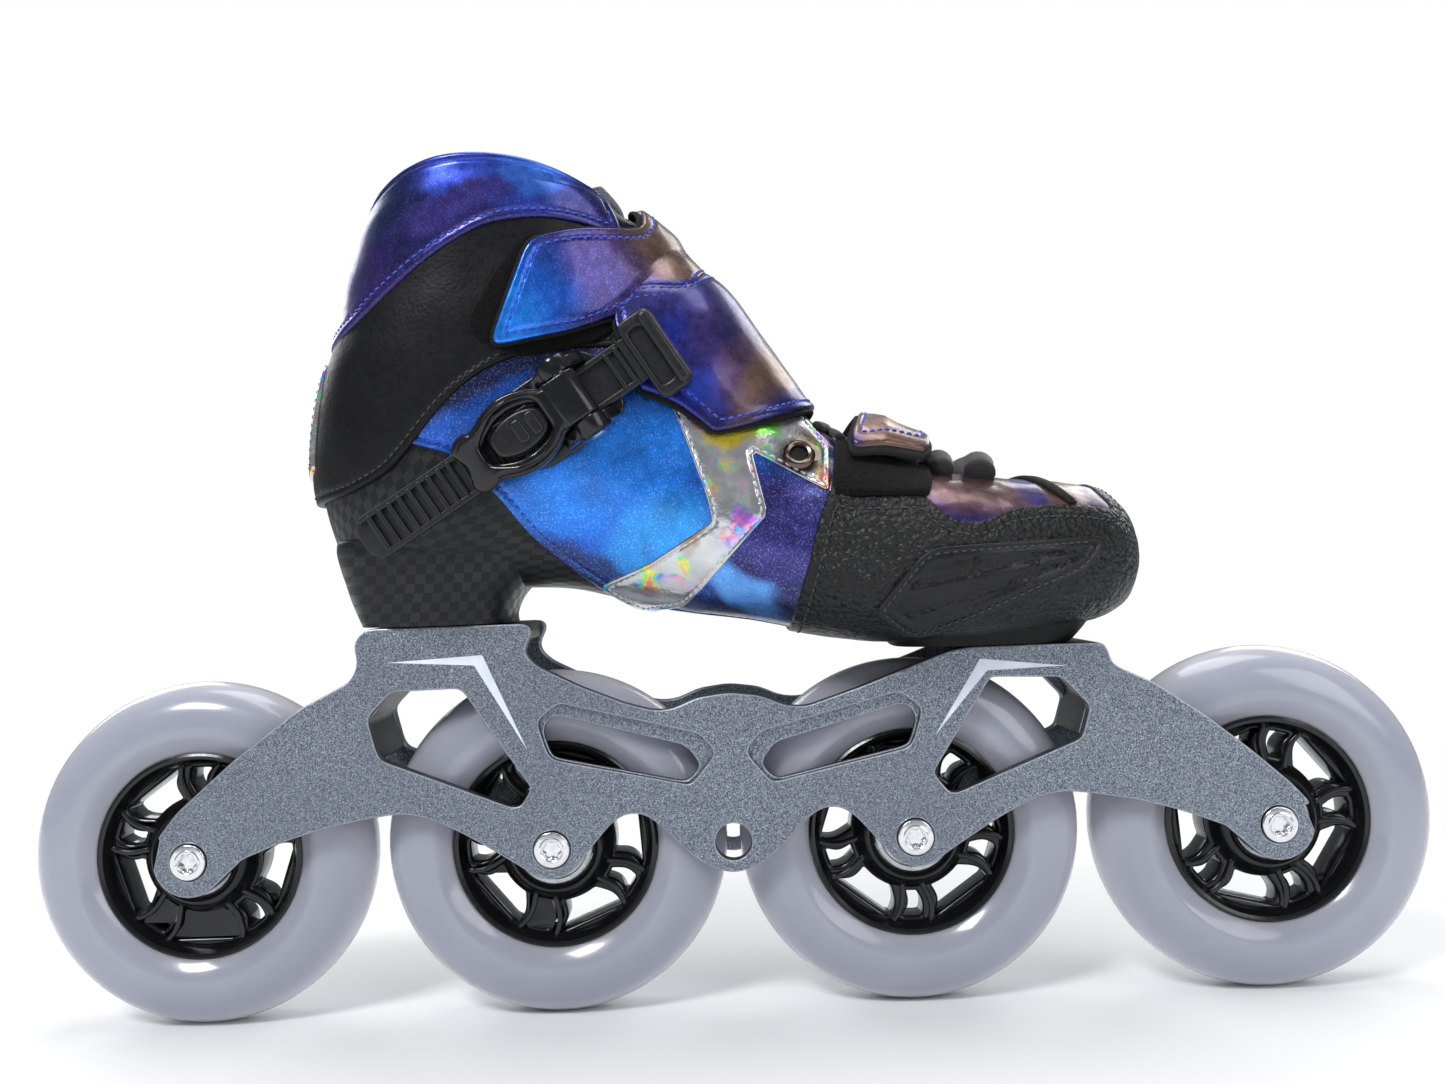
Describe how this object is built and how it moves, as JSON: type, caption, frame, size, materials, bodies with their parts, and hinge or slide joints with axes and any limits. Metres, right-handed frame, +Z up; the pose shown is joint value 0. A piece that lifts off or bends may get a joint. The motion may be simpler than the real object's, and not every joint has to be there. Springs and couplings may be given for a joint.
{
  "type": "inline speed skate",
  "caption": "Low-cut racing boot with straps and a ratchet buckle, bolted to a long open aluminium frame with a row of large wheels.",
  "frame": {"origin": "on the ground under the middle of the skate's overall length and width, between the second and third wheels", "axes": "+X towards the toe along the row of wheels, +Y towards the inner side of the foot, +Z up"},
  "size_m": [0.4108, 0.0967, 0.2434],
  "materials": {
    "urethane": "milky translucent urethane, semi-gloss",
    "hub_black": "moulded gloss black",
    "bearing_steel": "ground steel",
    "axle_silver": "bright machined",
    "frame_alloy": "fine sparkling anodised grey-blue",
    "bolt_black": "blackened steel",
    "carbon": "matt checkered carbon fibre",
    "lining": "grey padded textile",
    "footbed": "black textile over foam",
    "guard_black": "crinkled black coating",
    "leather_black": "fine-grained black",
    "leather_blue": "colour-shifting blue to violet, fine sparkle",
    "leather_bronze": "colour-shifting violet to bronze",
    "foil_silver": "holographic silver foil",
    "bumper_black": "smooth black rubber",
    "webbing": "black hook and loop webbing",
    "lace_black": "round woven lace",
    "eyelet_bronze": "dark bronze plate",
    "buckle_black": "gloss black nylon",
    "ladder_black": "matt black nylon",
    "pawl_grey": "dark grey"
  },
  "bodies": {
    "boot_and_frame": {"frame": "frame_alloy", "heel_bolt": "bolt_black", "toe_bolt": "bolt_black", "vamp_lining": "lining", "heel_lining": "lining", "cuff_lining": "lining", "insole": "footbed", "carbon_shell": "carbon", "toe_guard": "guard_black", "vamp": "leather_bronze", "quarter_lateral": "leather_blue", "quarter_medial": "leather_blue", "ankle_wrap": "leather_black", "collar": "leather_blue", "tongue": "lining", "chevron_lateral": "foil_silver", "chevron_medial": "foil_silver", "bumper_lateral": "bumper_black", "bumper_medial": "bumper_black", "heel_badge": "bumper_black", "ankle_strap_base": "webbing", "ankle_strap": "leather_blue", "instep_strap": "leather_blue", "toe_strap_base": "webbing", "toe_strap": "leather_bronze", "lace": "lace_black", "eyelet_lateral": "eyelet_bronze", "eyelet_medial": "eyelet_bronze", "buckle_base": "buckle_black", "lever_pin": "axle_silver", "axle_1": "axle_silver", "spacer_1": "axle_silver", "axle_2": "axle_silver", "spacer_2": "axle_silver", "axle_3": "axle_silver", "spacer_3": "axle_silver", "axle_4": "axle_silver", "spacer_4": "axle_silver"},
    "wheel_1": {"tyre_1": "urethane", "hub_1": "hub_black", "bearing_out_1": "bearing_steel", "bearing_in_1": "bearing_steel"},
    "wheel_2": {"tyre_2": "urethane", "hub_2": "hub_black", "bearing_out_2": "bearing_steel", "bearing_in_2": "bearing_steel"},
    "wheel_3": {"tyre_3": "urethane", "hub_3": "hub_black", "bearing_out_3": "bearing_steel", "bearing_in_3": "bearing_steel"},
    "wheel_4": {"tyre_4": "urethane", "hub_4": "hub_black", "bearing_out_4": "bearing_steel", "bearing_in_4": "bearing_steel"},
    "lever": {"buckle_lever": "buckle_black"},
    "pawl": {"buckle_pawl": "pawl_grey"},
    "ladder": {"ladder_strap": "ladder_black", "strap_keeper": "ladder_black"},
    "ankle_flap": {"ankle_strap_flap": "leather_blue"},
    "toe_flap": {"toe_strap_flap": "leather_bronze"}
  },
  "joints": [
    {"name": "wheel_1_spin", "type": "hinge", "parent": "boot_and_frame", "child": "wheel_1", "pos_m": [-0.1554, 0.0032, 0.05], "axis": [0, 1, 0], "continuous": true},
    {"name": "wheel_2_spin", "type": "hinge", "parent": "boot_and_frame", "child": "wheel_2", "pos_m": [-0.0518, 0.0032, 0.05], "axis": [0, 1, 0], "continuous": true},
    {"name": "wheel_3_spin", "type": "hinge", "parent": "boot_and_frame", "child": "wheel_3", "pos_m": [0.0518, 0.0032, 0.05], "axis": [0, 1, 0], "continuous": true},
    {"name": "wheel_4_spin", "type": "hinge", "parent": "boot_and_frame", "child": "wheel_4", "pos_m": [0.1554, 0.0032, 0.05], "axis": [0, 1, 0], "continuous": true},
    {"name": "buckle_lever_lift", "type": "hinge", "parent": "boot_and_frame", "child": "lever", "pos_m": [-0.0385, -0.0437, 0.175], "axis": [-0.5373, 0, 0.8434], "range_deg": [0, 70], "stiffness_Nm_per_rad": 0.03},
    {"name": "buckle_pawl_press", "type": "hinge", "parent": "lever", "child": "pawl", "pos_m": [-0.05031, -0.0453, 0.16748], "axis": [0.5373, 0, -0.8434], "range_deg": [0, 12], "stiffness_Nm_per_rad": 0.01},
    {"name": "ladder_slide", "type": "slide", "parent": "boot_and_frame", "child": "ladder", "axis": [0.8434, 0, 0.5373], "range_m": [-0.01, 0.016]},
    {"name": "ankle_flap_open", "type": "hinge", "parent": "boot_and_frame", "child": "ankle_flap", "pos_m": [-0.01464, -0.00808, 0.22754], "axis": [-0.6789, 0.11, 0.7259], "range_deg": [0, 80]},
    {"name": "toe_flap_open", "type": "hinge", "parent": "boot_and_frame", "child": "toe_flap", "pos_m": [0.0504, -0.013, 0.1692], "axis": [-0.9352, 0.0517, 0.3502], "range_deg": [0, 80]}
  ]
}
